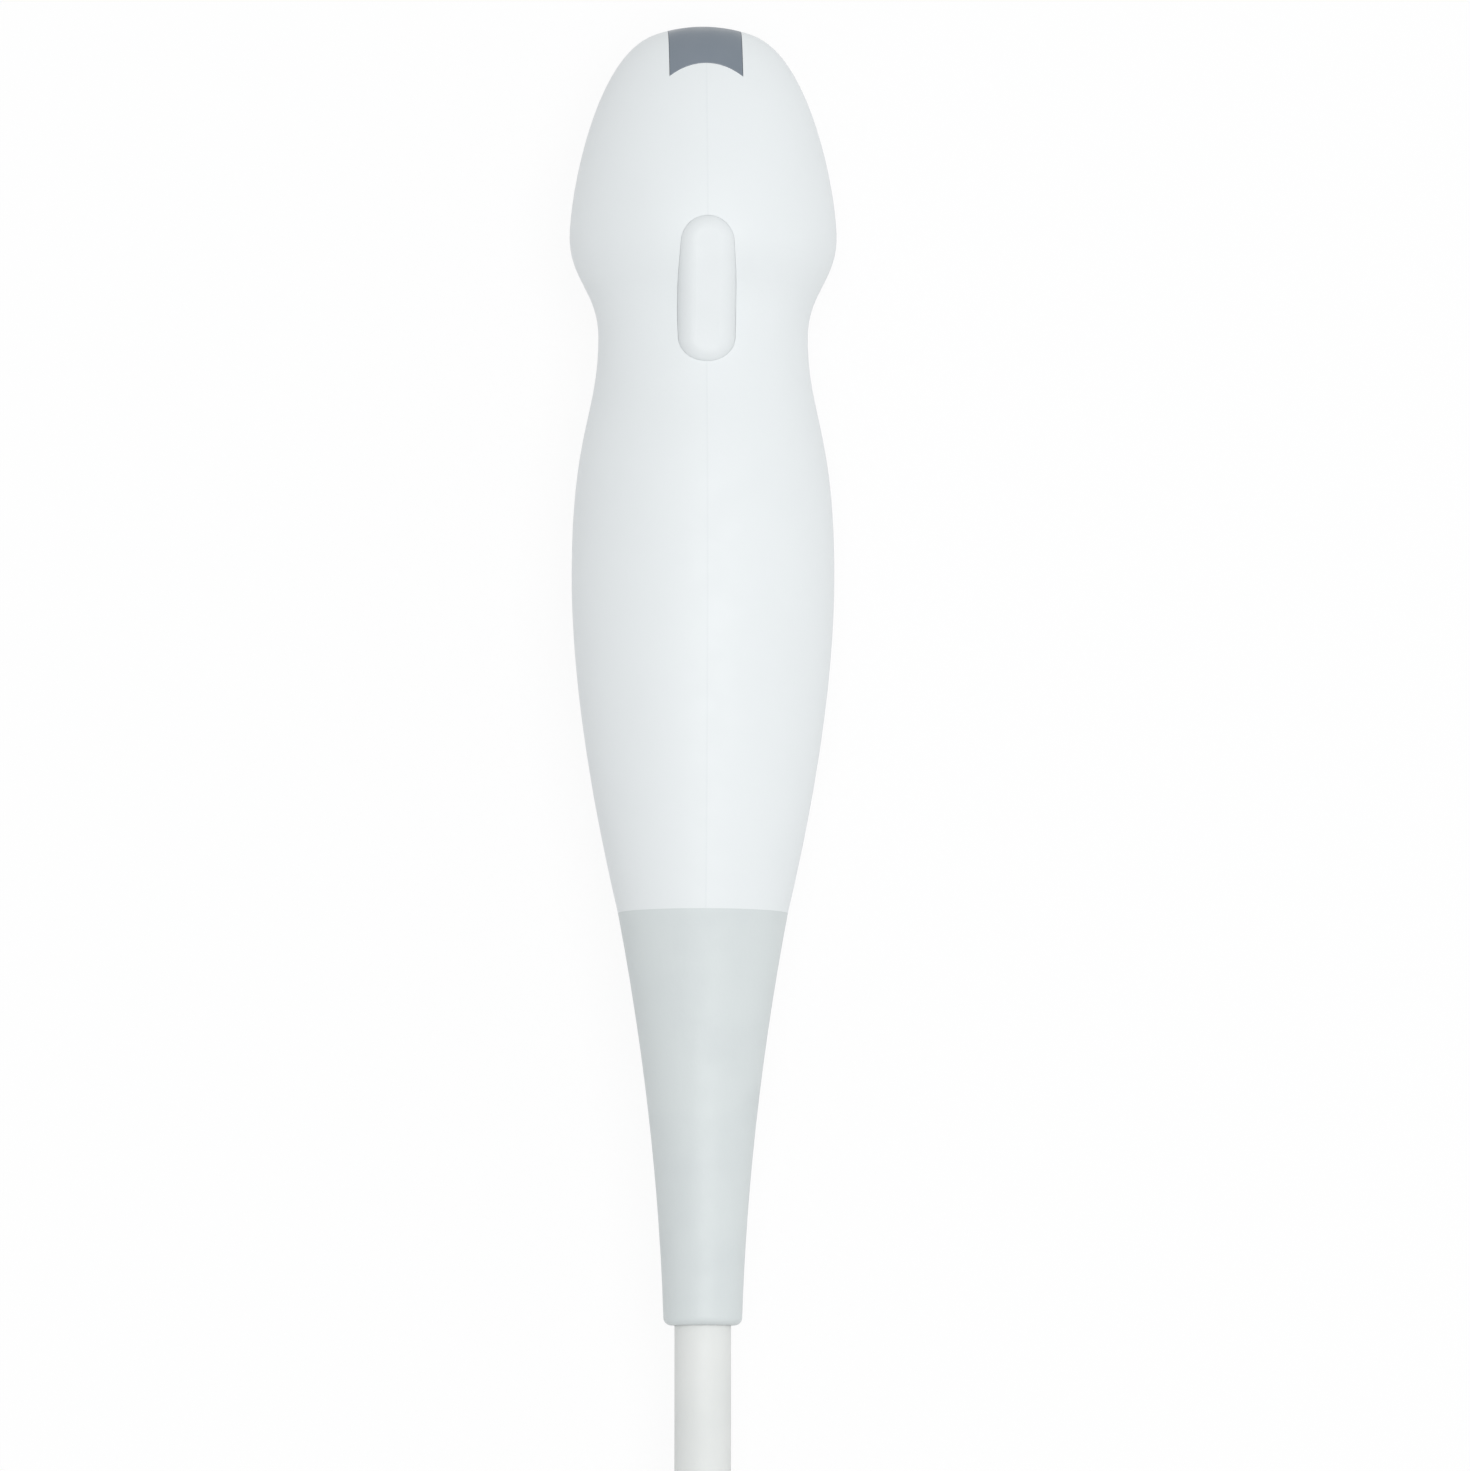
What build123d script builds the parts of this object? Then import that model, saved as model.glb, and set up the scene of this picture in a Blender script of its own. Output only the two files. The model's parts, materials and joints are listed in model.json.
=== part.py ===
"""Micro-convex ultrasound transducer probe with its cable and system connector, in millimetres.

The handpiece lies along Y with its acoustic lens towards +Y, its cable towards -Y and its orientation
marker up. The origin is under the middle of the handpiece, on the surface that the probe lies on.
Stations are distances along the handpiece, measured from the tip of the lens.
"""
import os
from math import pi, radians, sqrt, tan

from build123d import *

# Handpiece outline, seen from the marker side
probe_length = 150.6
housing_length = 103.2
head_width = 31.0
head_depth = 27.0
head_station = 24.6
neck_width = 24.3
neck_station = 36.4
grip_width = 30.4
grip_station = 64.0
rear_width = 19.6
rear_slope = 0.23

# Curve of the nose and the pull of each outline point on the curves beside it
nose_radius = 17.0
nose_arc_half_width = 6.0
nose_pull = 7.0
head_pull_front = 5.0
head_pull_rear = 5.0
neck_pull_front = 5.5
neck_pull_rear = 9.0
grip_pull_front = 17.0
grip_pull_rear = 16.0
rear_pull = 6.0

# Moulded housing
wall = 2.0
carrier_rib_height = 1.6
rib_thickness = 1.5
part_gap = 0.1

# Tongue and groove along the housing seam, behind the marker
lip_start = 42.0
lip_end = 98.0
lip_inset = 0.7
lip_thickness = 0.6
lip_height = 0.8
lip_gap = 0.1

# Lens window, acoustic stack and the carrier that holds it
lens_width = 8.4
lens_height = 18.3
lens_thickness = 1.2
lens_skirt_end = 8.0
lens_gap = 0.05
array_radius = 10.6
array_width = 6.8
array_height = 14.6
matching_thickness = 0.2
piezo_thickness = 0.45
element_count = 64
element_span = 84.0
kerf = 0.05
backing_end = 19.0
carrier_start = 12.5
carrier_length = 6.5

# Flexible circuits, boards, shield and wiring in the handle
flex_thickness = 0.15
flex_tail_height = 10.0
flex_tail_start = 24.0
flex_end = 34.0
board_thickness = 0.8
board_start = 25.0
board_length = 39.0
spacer_length = 24.0
spacer_bar = 3.0
shield_gap = 0.3
shield_thickness = 0.25
shield_start = 26.5
shield_end = 70.0
ferrule_length = 10.0
ferrule_wall = 0.8
ferrule_flange_radius = 6.2
ferrule_flange_thickness = 2.0
bundle_diameter = 4.6

# Orientation marker
marker_width = 6.7
marker_length = 17.4
marker_station = 32.2
marker_height = 0.8
marker_pull = 5.0
marker_depth = 1.0
marker_edge = 2.0
marker_gap = 0.02

# Strain relief boot of the handpiece
boot_end_diameter = 9.0
boot_slope = 0.19
boot_end_slope = 0.03
boot_end_edge = 0.9
boot_spigot = 6.0
boot_sections = 5

# Cable, its put-away hank and the strap that ties it
cable_diameter = 6.5
hank_columns = 2
hank_layers = 4
hank_run = 58.0
hank_fold_width = 39.0
hank_x = 13.75
hank_distance = 62.7
tie_thickness = 0.6
tie_width = 14.0
tie_gap = 0.05

# System connector, lying on its mating face
connector_x = 11.5
connector_width = 54.0
connector_length = 84.0
connector_underside = 8.0
connector_split = 20.5
connector_top = 34.0
connector_wall = 2.2
connector_corner = 7.0
connector_edge = 2.4
parting_chamfer = 0.35
cable_exit_offset = 8.0
grip_rib_count = 9
grip_rib_pitch = 4.0
grip_rib_width = 1.6
grip_rib_depth = 0.6
grip_rib_height = 9.0
plug_length = 60.0
plug_width = 36.0
plug_setback = 7.0
plug_wall = 2.0
plug_corner = 4.0
plug_flange = 2.0
plug_rise = 6.0
plug_key_width = 6.0
plug_key_depth = 1.5
contact_face = 7.0
contact_columns = 9
contact_rows = 5
contact_pitch = 2.8
contact_field_offset = 18.5
contact_side = 1.1
contact_length = 1.6
connector_board_thickness = 1.6
screw_spacing_y = 72.0
screw_spacing_x = 46.0
screw_radius = 1.4
screw_head_radius = 2.3
screw_head_height = 1.8
screw_length = 13.0
screw_boss_radius = 2.9
screw_socket_radius = 1.1
screw_socket_depth = 1.0
screw_gap = 0.1
connector_boot_length = 26.0
connector_boot_radius = 7.6
connector_boot_end_radius = 4.7
connector_boot_neck_radius = 5.6
connector_boot_flange = 2.0
boot_groove_count = 5
boot_groove_width = 1.4
boot_groove_depth = 0.9
wires_width = 24.0
wires_height = 2.2
wires_overlap = 6.0

# Locking handle of the connector
lock_shaft_radius = 4.0
lock_fit = 0.06
lock_clearance = 0.5
lock_bar_length = 16.0
lock_bar_width = 4.0
lock_bar_height = 3.0
lock_bar_rise = 1.5
lever_gap = 0.4
lever_hub_radius = 9.0
lever_reach = 33.0
lever_tip_width = 11.0
lever_thickness = 6.5
lever_edge = 1.2
lever_groove_count = 3
lever_groove_pitch = 3.2
lever_groove_width = 1.2
lever_groove_depth = 0.6
lever_screw_radius = 2.0
lever_screw_head_radius = 3.6
lever_screw_head_height = 2.2
lever_screw_length = 9.0
lever_socket_radius = 1.8
lever_socket_depth = 1.3

tip_y = probe_length / 2
axis_z = head_depth / 2
flatness = head_depth / head_width
cable_radius = cable_diameter / 2
handle_axis = Axis((0, tip_y, axis_z), (0, 1, 0))
side_plane = Plane(origin=(0, tip_y, axis_z), x_dir=(0, 0, 1), z_dir=(1, 0, 0))
top_plane = Plane(origin=(0, tip_y, axis_z), x_dir=(1, 0, 0), z_dir=(0, 0, -1))

os.makedirs("parts", exist_ok=True)


def station_plane(station):
    """Plane across the handpiece, with X across, Y up and its normal towards the cable."""
    return Plane(origin=(0, tip_y - station, axis_z), x_dir=(1, 0, 0), z_dir=(0, -1, 0))


def across(width):
    """Plane of the handpiece's side view, on the left end of a piece of this width."""
    return side_plane.offset(-width / 2)


def handle_outline(inset):
    """Half outline of the housing from tip to rear end, set in by a depth, and the closing lines."""
    arc_station = nose_radius - sqrt(nose_radius**2 - nose_arc_half_width**2)
    lean = Vector(nose_radius - arc_station, nose_arc_half_width) / nose_radius
    inward = Vector(-lean.Y, lean.X) * inset
    tip = Vector(0, inset)
    arc_end = Vector(nose_arc_half_width, arc_station) + inward
    head = Vector(head_width / 2 - inset, head_station)
    neck = Vector(neck_width / 2 - inset, neck_station)
    grip = Vector(grip_width / 2 - inset, grip_station)
    rear = Vector(rear_width / 2 - inset, housing_length)
    RadiusArc(tip, arc_end, inset - nose_radius)
    Bezier(arc_end, arc_end + lean * nose_pull, head - Vector(0, head_pull_front), head)
    Bezier(head, head + Vector(0, head_pull_rear), neck - Vector(0, neck_pull_front), neck)
    Bezier(neck, neck + Vector(0, neck_pull_rear), grip - Vector(0, grip_pull_front), grip)
    Bezier(grip, grip + Vector(0, grip_pull_rear), rear + Vector(rear_slope, -1) * rear_pull, rear)
    Polyline(rear, (0, housing_length), tip)


def flatten():
    """Squeeze the turned body in the open block to the handpiece's oval section."""
    scale(by=(1, 1, flatness), about=(0, tip_y, axis_z))


def export(piece, name):
    """Label a finished piece and write it to its own file."""
    piece.label = name
    export_step(piece, f"parts/{name}.step")


# Housing: two moulded halves that meet on the plane x = 0, with ribs for the carrier and the ferrule
carrier_end = carrier_start + carrier_length
ferrule_station = housing_length - boot_spigot - part_gap - ferrule_length
ferrule_hole_radius = cable_radius + ferrule_wall + 2 * part_gap
flange_station = ferrule_station + ferrule_length / 2
flange_slot = ferrule_flange_thickness + 2 * part_gap
rib_stations = [
    flange_station - (flange_slot + rib_thickness) / 2,
    flange_station + (flange_slot + rib_thickness) / 2,
]

with BuildPart() as right_housing:
    with BuildSketch(side_plane):
        with BuildLine():
            handle_outline(0)
        make_face()
        with BuildLine():
            handle_outline(wall)
        make_face(mode=Mode.SUBTRACT)
    revolve(axis=handle_axis, revolution_arc=180)
    with BuildSketch(side_plane):
        with BuildLine():
            handle_outline(wall)
        make_face()
        with BuildLine():
            handle_outline(wall + carrier_rib_height)
        make_face(mode=Mode.SUBTRACT)
        with Locations((0, carrier_end + part_gap)):
            Rectangle(head_width, rib_thickness, align=(Align.MIN, Align.MIN), mode=Mode.INTERSECT)
    revolve(axis=handle_axis, revolution_arc=180)
    with BuildSketch(side_plane):
        with BuildLine():
            handle_outline(wall)
        make_face()
        with BuildSketch(side_plane, mode=Mode.INTERSECT):
            for rib_station in rib_stations:
                with Locations((0, rib_station)):
                    Rectangle(grip_width, rib_thickness, align=(Align.MIN, Align.CENTER))
    revolve(axis=handle_axis, revolution_arc=180)
    flatten()
    with BuildSketch(station_plane(0)):
        Rectangle(lens_width + 2 * lens_gap, lens_height + 2 * lens_gap)
    extrude(amount=carrier_start, mode=Mode.SUBTRACT)
    with BuildSketch(station_plane(ferrule_station - rib_thickness)):
        Circle(ferrule_hole_radius)
    extrude(amount=ferrule_length + 2 * rib_thickness, mode=Mode.SUBTRACT)

# Marker: a soft-edged stadium that straddles the seam and sits in a pocket of both halves
with BuildPart() as marker_floor:
    with BuildSketch(side_plane):
        with BuildLine():
            handle_outline(marker_depth)
        make_face()
    revolve(axis=handle_axis)
    flatten()


def marker_body(clearance):
    """Stadium with a crown along the housing's side view, larger by a clearance all round."""
    length = marker_length + 2 * clearance
    width = marker_width + 2 * clearance
    front = marker_station - length / 2
    rear = marker_station + length / 2
    crown_front = Vector(flatness * head_width / 2 + marker_height + clearance, front)
    crown_rear = Vector(flatness * neck_width / 2 + marker_height + clearance, rear)
    pull = Vector(0, marker_pull)
    with BuildPart() as body:
        with BuildSketch(top_plane):
            with Locations((0, marker_station)):
                SlotOverall(length, width, rotation=90)
        extrude(amount=-head_depth)
        with BuildSketch(across(width)):
            with BuildLine():
                Bezier(crown_front, crown_front + pull, crown_rear - pull, crown_rear)
                Polyline(crown_rear, (0, rear), (0, front), crown_front)
            make_face()
        extrude(amount=width, mode=Mode.INTERSECT)
        fillet(body.faces().sort_by(Axis.Z)[-1].edges(), radius=marker_edge)
        add(marker_floor.part, mode=Mode.SUBTRACT)
    return body.part


with BuildPart() as orientation_marker:
    add(marker_body(0))

marker_cut = marker_body(marker_gap)


def seam_band(clearance):
    """Strip inside the wall on both sides of the seam plane, reaching into the left half."""
    with BuildPart() as band:
        with BuildSketch(side_plane):
            with BuildLine():
                handle_outline(lip_inset - clearance)
            make_face()
            with BuildLine():
                handle_outline(lip_inset + lip_thickness + clearance)
            make_face(mode=Mode.SUBTRACT)
            with Locations((0, lip_start - clearance)):
                Rectangle(
                    grip_width,
                    lip_end - lip_start + 2 * clearance,
                    align=(Align.MIN, Align.MIN),
                    mode=Mode.INTERSECT,
                )
            mirror(about=Plane.YZ)
        extrude(amount=-lip_height - clearance)
        flatten()
    return band.part


seam_tongue = seam_band(0)
seam_groove = seam_band(lip_gap)

with BuildPart() as right_half:
    add(right_housing.part)
    add(marker_cut, mode=Mode.SUBTRACT)
    add(seam_tongue)

with BuildPart() as left_half:
    add(right_housing.part)
    add(marker_cut, mode=Mode.SUBTRACT)
    mirror(about=Plane.YZ, mode=Mode.REPLACE)
    add(seam_groove, mode=Mode.SUBTRACT)

export(right_half.part, "right_housing")
export(left_half.part, "left_housing")
export(orientation_marker.part, "orientation_marker")

# Acoustic stack: arcs about one centre line across the probe, behind the silicone lens
array_centre = lens_thickness + array_radius
outer_matching_radius = array_radius
inner_matching_radius = outer_matching_radius - matching_thickness
piezo_radius = inner_matching_radius - matching_thickness
backing_radius = piezo_radius - piezo_thickness
stack_width = array_width + 2 * flex_thickness

with BuildPart() as acoustic_lens:
    with BuildSketch(side_plane):
        with BuildLine():
            handle_outline(0)
        make_face()
    revolve(axis=handle_axis)
    flatten()
    with BuildSketch(station_plane(0)):
        Rectangle(lens_width, lens_height)
    extrude(amount=lens_skirt_end, mode=Mode.INTERSECT)
    with BuildSketch(across(stack_width + 2 * part_gap)):
        with Locations((0, array_centre)):
            Circle(array_radius)
        Rectangle(array_height + 2 * part_gap, 2 * array_centre, mode=Mode.INTERSECT)
    extrude(amount=stack_width + 2 * part_gap, mode=Mode.SUBTRACT)

export(acoustic_lens.part, "acoustic_lens")

for name, top_radius in (
    ("outer_matching_layer", outer_matching_radius),
    ("inner_matching_layer", inner_matching_radius),
):
    with BuildPart() as matching_layer:
        with BuildSketch(across(array_width)):
            with Locations((0, array_centre)):
                Circle(top_radius)
                Circle(top_radius - matching_thickness, mode=Mode.SUBTRACT)
            Rectangle(array_height, 2 * array_centre, mode=Mode.INTERSECT)
        extrude(amount=array_width)
    export(matching_layer.part, name)

element_pitch = radians(element_span) / (element_count - 1) * backing_radius
with BuildPart() as piezo_array:
    with BuildSketch(across(array_width)):
        with Locations((0, array_centre)):
            with PolarLocations(
                (piezo_radius + backing_radius) / 2,
                element_count,
                start_angle=-90 - element_span / 2,
                angular_range=element_span,
                endpoint=True,
            ):
                Rectangle(piezo_thickness, element_pitch - kerf)
    extrude(amount=array_width)
export(piezo_array.part, "piezo_array")

with BuildPart() as backing_block:
    with BuildSketch(across(array_width)):
        with Locations((0, array_centre)):
            Circle(backing_radius)
            Rectangle(array_height, backing_end - array_centre, align=(Align.CENTER, Align.MIN))
        Rectangle(array_height, 2 * backing_end, mode=Mode.INTERSECT)
    extrude(amount=array_width)
export(backing_block.part, "backing_block")

with BuildPart() as array_carrier:
    with BuildSketch(side_plane):
        with BuildLine():
            handle_outline(wall + part_gap)
        make_face()
        with Locations((0, carrier_start)):
            Rectangle(head_width, carrier_length, align=(Align.MIN, Align.MIN), mode=Mode.INTERSECT)
    revolve(axis=handle_axis)
    flatten()
    with BuildSketch(station_plane(carrier_start)):
        Rectangle(stack_width + 2 * part_gap, array_height + 2 * part_gap)
    extrude(amount=carrier_length, mode=Mode.SUBTRACT)
export(array_carrier.part, "array_carrier")

# Room inside the oval shield, which the waist of the housing holds
shield_half_width = neck_width / 2 - wall - shield_gap
shield_half_depth = shield_half_width * flatness


def shield_room(offset):
    """Height inside the shield at this distance from the seam plane."""
    share = offset / (shield_half_width - shield_thickness)
    return 2 * (shield_half_depth - shield_thickness) * sqrt(1 - share**2) - 2 * part_gap


spacer_height = shield_room(stack_width / 2)
board_height = shield_room(stack_width / 2 + board_thickness)

# Flexible circuits and boards, one pair on each side of the backing block
for side, sign in (("right", 1), ("left", -1)):
    flex_plane = side_plane.offset(sign * array_width / 2)
    with BuildPart() as flex_circuit:
        with BuildSketch(flex_plane):
            with Locations((0, array_centre)):
                Circle(backing_radius)
            Rectangle(array_height, 2 * array_centre, mode=Mode.INTERSECT)
            with BuildLine():
                Polyline(
                    (-array_height / 2, array_centre),
                    (-array_height / 2, backing_end),
                    (-flex_tail_height / 2, flex_tail_start),
                    (-flex_tail_height / 2, flex_end),
                    (flex_tail_height / 2, flex_end),
                    (flex_tail_height / 2, flex_tail_start),
                    (array_height / 2, backing_end),
                    (array_height / 2, array_centre),
                    close=True,
                )
            make_face()
        extrude(amount=sign * flex_thickness)
    export(flex_circuit.part, f"{side}_flex_circuit")

    with BuildPart() as board:
        with BuildSketch(flex_plane.offset(sign * flex_thickness)):
            with Locations((0, board_start)):
                Rectangle(board_height, board_length, align=(Align.CENTER, Align.MIN))
        extrude(amount=sign * board_thickness)
        fillet(board.edges().filter_by(Axis.X), radius=board_thickness)
    export(board.part, f"{side}_board")

# Spacer frame that keeps the two boards apart
spacer_start = flex_end + part_gap
with BuildPart() as board_spacer:
    with BuildSketch(across(stack_width)):
        with Locations((0, spacer_start + spacer_length / 2)):
            Rectangle(spacer_height, spacer_length)
            Rectangle(spacer_height - 2 * spacer_bar, spacer_length - 2 * spacer_bar, mode=Mode.SUBTRACT)
    extrude(amount=stack_width)
export(board_spacer.part, "board_spacer")

# Shield: two sheet halves that line the housing around the boards
with BuildPart() as right_shield:
    with BuildSketch(station_plane(shield_start)):
        Ellipse(shield_half_width, shield_half_depth)
        Ellipse(
            shield_half_width - shield_thickness, shield_half_depth - shield_thickness, mode=Mode.SUBTRACT
        )
        Rectangle(head_width, head_depth, align=(Align.MIN, Align.CENTER), mode=Mode.INTERSECT)
    extrude(amount=shield_end - shield_start)

with BuildPart() as left_shield:
    add(right_shield.part)
    mirror(about=Plane.YZ, mode=Mode.REPLACE)

export(right_shield.part, "right_shield")
export(left_shield.part, "left_shield")

# Crimp ferrule on the cable's end, with the flange that the housing ribs trap
with BuildPart() as crimp_ferrule:
    with BuildSketch(station_plane(ferrule_station)):
        Circle(cable_radius + part_gap + ferrule_wall)
    extrude(amount=ferrule_length)
    with BuildSketch(station_plane(flange_station - ferrule_flange_thickness / 2)):
        Circle(ferrule_flange_radius)
    extrude(amount=ferrule_flange_thickness)
    with BuildSketch(station_plane(ferrule_station)):
        Circle(cable_radius + part_gap)
    extrude(amount=ferrule_length, mode=Mode.SUBTRACT)
export(crimp_ferrule.part, "crimp_ferrule")

# Micro-coaxial bundle, fanning from the stripped cable end to the space between the boards
bundle_start = spacer_start + spacer_length
with BuildPart() as coax_bundle:
    with BuildSketch(station_plane(bundle_start)):
        Ellipse(stack_width / 2 - part_gap, flex_tail_height / 2)
    with BuildSketch(station_plane(ferrule_station)):
        Circle(bundle_diameter / 2)
    loft()
export(coax_bundle.part, "coax_bundle")

# Strain relief: oval where it continues the housing, round where the cable comes out
boot_length = probe_length - housing_length


def boot_half_width(share):
    """Half width of the boot at a share of its length, on a cubic with the slopes of both ends."""
    start_weight = 1 - 3 * share**2 + 2 * share**3
    start_pull = share - 2 * share**2 + share**3
    end_pull = share**3 - share**2
    widths = start_weight * rear_width / 2 + (1 - start_weight) * boot_end_diameter / 2
    return widths - boot_length * (boot_slope * start_pull + boot_end_slope * end_pull)


with BuildPart() as strain_relief:
    for section in range(boot_sections):
        share = section / (boot_sections - 1)
        half_width = boot_half_width(share)
        with BuildSketch(station_plane(housing_length + share * boot_length)):
            Ellipse(half_width, half_width * (flatness + (1 - flatness) * share))
    loft()
    fillet(strain_relief.edges().sort_by(Axis.Y)[0], radius=boot_end_edge)
    with BuildSketch(station_plane(housing_length - boot_spigot)):
        spigot_half_width = rear_width / 2 - wall - part_gap
        Ellipse(spigot_half_width, spigot_half_width * flatness)
    extrude(amount=boot_spigot)
    with BuildSketch(station_plane(housing_length - boot_spigot)):
        Circle(cable_radius + part_gap)
    extrude(amount=boot_spigot + boot_length, mode=Mode.SUBTRACT)
export(strain_relief.part, "strain_relief")

# Hank: the outer shape of the put-away turns, an oval ring that stands on its tie
hank_width = hank_fold_width + (2 * hank_columns - 1) * cable_diameter
hank_hole = hank_fold_width - cable_diameter
hank_bottom = tie_thickness + tie_gap
hank_height = hank_layers * cable_diameter
exit_y = tip_y - probe_length
hank_middle_y = exit_y - hank_distance - hank_run / 2
hank_end_y = hank_middle_y - hank_run / 2
hank_plane = Plane((hank_x, hank_middle_y, hank_bottom))

with BuildPart() as cable_hank:
    with BuildSketch(hank_plane):
        SlotCenterToCenter(hank_run, hank_width, rotation=90)
        SlotCenterToCenter(hank_run, hank_hole, rotation=90, mode=Mode.SUBTRACT)
    extrude(amount=hank_height)
    fillet(cable_hank.faces().filter_by(Axis.Z).edges(), radius=cable_radius - tie_gap)
export(cable_hank.part, "cable_hank")

# Tie: a strap round the turns on one side of the hank
bundle_width = hank_columns * cable_diameter
tie_x = hank_x + hank_width / 2 - bundle_width / 2
tie_plane = Plane(
    origin=(tie_x, hank_middle_y + tie_width / 2, hank_bottom + hank_height / 2),
    x_dir=(1, 0, 0),
    z_dir=(0, -1, 0),
)
with BuildPart() as cable_tie:
    with BuildSketch(tie_plane):
        strap = (bundle_width + 2 * hank_bottom, hank_height + 2 * hank_bottom)
        RectangleRounded(*strap, radius=cable_radius + tie_thickness)
        opening = (bundle_width + 2 * tie_gap, hank_height + 2 * tie_gap)
        RectangleRounded(*opening, radius=cable_radius, mode=Mode.SUBTRACT)
    extrude(amount=tie_width)
export(cable_tie.part, "cable_tie")

# Cable route: straight out of the boot, down into the hank, and from its top to the connector
lowest_turn_z = hank_bottom + cable_radius
top_turn_z = hank_bottom + hank_height - cable_radius
outer_run_x = hank_x - hank_width / 2 + cable_radius
connector_cable_x = connector_x - cable_exit_offset
lead_route = [
    (0, exit_y, axis_z),
    (0, exit_y - 14.7, axis_z),
    (-3.6, exit_y - 29.7, 9.0),
    (-9.0, exit_y - 44.7, 4.2),
    (outer_run_x, exit_y - 59.7, lowest_turn_z),
    (outer_run_x, exit_y - 73.7, lowest_turn_z),
]
tail_route = [
    (outer_run_x + 1.2, hank_end_y + 4, top_turn_z - 0.8),
    (outer_run_x + 1.2, hank_end_y - 10, top_turn_z - 0.4),
    (-8.0, hank_end_y - 25, 22.8),
    (-0.5, hank_end_y - 40, 21.2),
    (connector_cable_x, hank_end_y - 55, connector_split),
    (connector_cable_x, hank_end_y - 69, connector_split),
]
connector_boot_end_y = tail_route[-1][1]


def route_radii(points):
    """Radius of each bend, as large as the shorter of its two runs allows."""
    route = [Vector(*point) for point in points]
    radii = []
    for before, corner, after in zip(route, route[1:], route[2:]):
        run_in = corner - before
        run_out = after - corner
        half_turn = radians(run_in.get_angle(run_out)) / 2
        radii.append(0.45 * min(run_in.length, run_out.length) / tan(half_turn))
    return radii


lead_inside = Plane(origin=lead_route[0], x_dir=(1, 0, 0), z_dir=(0, 1, 0))
tail_inside = Plane(origin=tail_route[-1], x_dir=(1, 0, 0), z_dir=(0, -1, 0))
lead_inside_length = probe_length - ferrule_station
tail_inside_length = connector_boot_length + connector_wall + connector_boot_flange + ferrule_length
for name, route, inside_plane, inside_length in (
    ("cable", lead_route, lead_inside, lead_inside_length),
    ("cable_tail", tail_route[::-1], tail_inside, tail_inside_length),
):
    bend_radii = route_radii(route)
    print(name, "bend radii", [round(radius, 1) for radius in bend_radii])
    with BuildPart() as cord:
        with BuildLine() as cord_path:
            FilletPolyline(*route, radius=bend_radii)
        path = cord_path.wire()
        with BuildSketch(Plane(origin=route[0], z_dir=path % 0)):
            Circle(cable_radius)
        sweep()
        tube_volume = pi * cable_radius**2 * path.length
        print(name, "volume", round(cord.part.volume), "of", round(tube_volume))
        with BuildSketch(inside_plane):
            Circle(cable_radius)
        extrude(amount=inside_length)
        add(cable_hank.part, mode=Mode.SUBTRACT)
    export(cord.part, name)

# Connector casing: base and cover, split at the height of the cable
connector_front_y = connector_boot_end_y - connector_boot_length
connector_y = connector_front_y - connector_length / 2
plug_y = connector_y - plug_setback
floor_top = connector_underside + connector_wall
cover_ceiling = connector_top - connector_wall
boot_hole_radius = connector_boot_neck_radius + part_gap


def connector_plane(height):
    """Level plane over the middle of the connector."""
    return Plane((connector_x, connector_y, height))


def plug_plane(height):
    """Level plane over the middle of the plug, where the lock shaft stands."""
    return Plane((connector_x, plug_y, height))


def screw_places():
    """Places of the four casing screws."""
    return GridLocations(screw_spacing_x, screw_spacing_y, 2, 2)


boot_plane = Plane(
    origin=(connector_cable_x, connector_front_y, connector_split), x_dir=(1, 0, 0), z_dir=(0, -1, 0)
)

with BuildPart() as connector_base:
    with BuildSketch(connector_plane(connector_underside)):
        RectangleRounded(connector_width, connector_length, radius=connector_corner)
    extrude(amount=connector_split - connector_underside)
    fillet(connector_base.faces().sort_by(Axis.Z)[0].edges(), radius=connector_edge)
    chamfer(connector_base.faces().sort_by(Axis.Z)[-1].edges(), length=parting_chamfer)
    with BuildSketch(connector_plane(floor_top)):
        RectangleRounded(
            connector_width - 2 * connector_wall,
            connector_length - 2 * connector_wall,
            radius=connector_corner - connector_wall,
        )
    extrude(amount=connector_split - floor_top, mode=Mode.SUBTRACT)
    with BuildSketch(connector_plane(connector_underside)):
        with screw_places():
            Circle(screw_boss_radius)
    extrude(amount=connector_split - connector_underside)
    with BuildSketch(plug_plane(connector_underside)):
        RectangleRounded(plug_width + 2 * part_gap, plug_length + 2 * part_gap, radius=plug_corner)
    extrude(amount=connector_wall, mode=Mode.SUBTRACT)
    with Locations(connector_plane(connector_underside)):
        with screw_places():
            with Locations(Rotation(180, 0, 0)):
                CounterBoreHole(
                    screw_radius + screw_gap,
                    screw_head_radius + screw_gap,
                    screw_head_height + screw_gap,
                )
    with BuildSketch(boot_plane):
        Circle(boot_hole_radius)
    extrude(amount=connector_wall, mode=Mode.SUBTRACT)
export(connector_base.part, "connector_base")

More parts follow.
